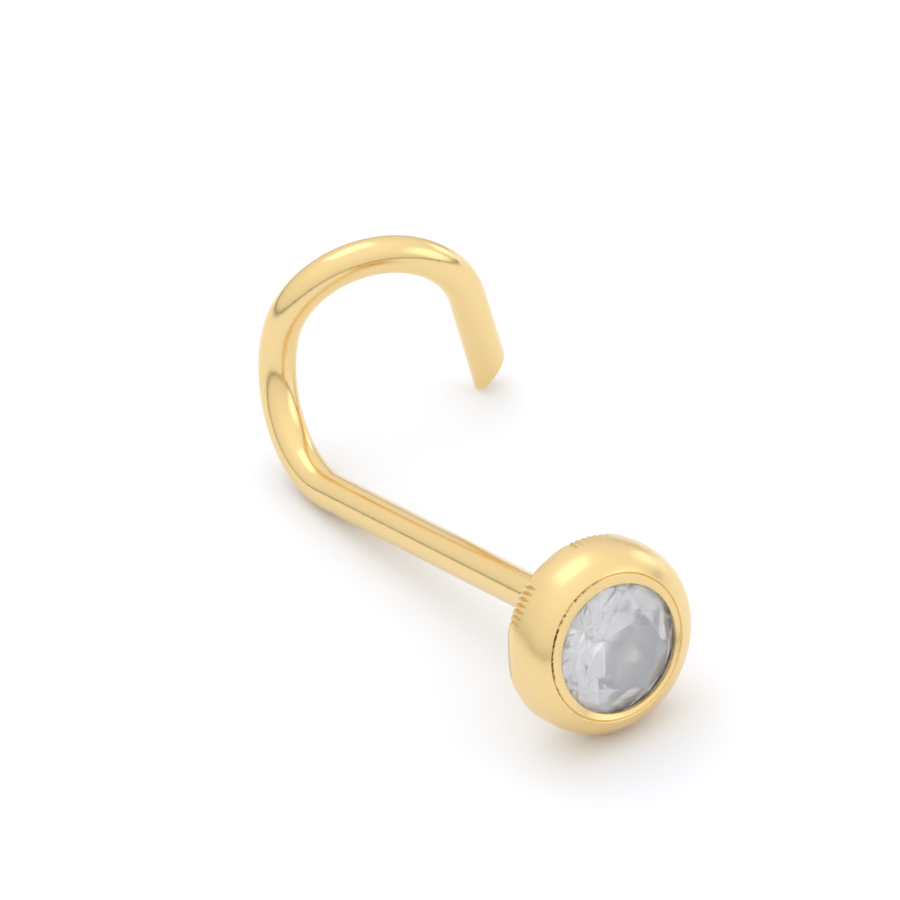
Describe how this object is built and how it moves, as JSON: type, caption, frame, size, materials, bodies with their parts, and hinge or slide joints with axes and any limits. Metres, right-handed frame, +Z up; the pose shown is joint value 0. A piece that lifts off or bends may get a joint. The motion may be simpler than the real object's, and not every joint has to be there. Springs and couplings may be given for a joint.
{
  "type": "nose stud",
  "caption": "Gold nose screw with a domed bezel head, a round faceted stone, a straight post and a curled hook.",
  "frame": {"origin": "centre of the resting stud's footprint box, on the surface it lies on", "axes": "+Z up from the surface, +X along the post towards the stone, as the stud rests by itself"},
  "size_m": [0.0116, 0.0062, 0.0039],
  "materials": {
    "gold": "polished yellow gold",
    "stone": "clear round brilliant-cut stone"
  },
  "bodies": {
    "root": {"stud_metal": "gold", "stone": "stone"}
  },
  "joints": []
}
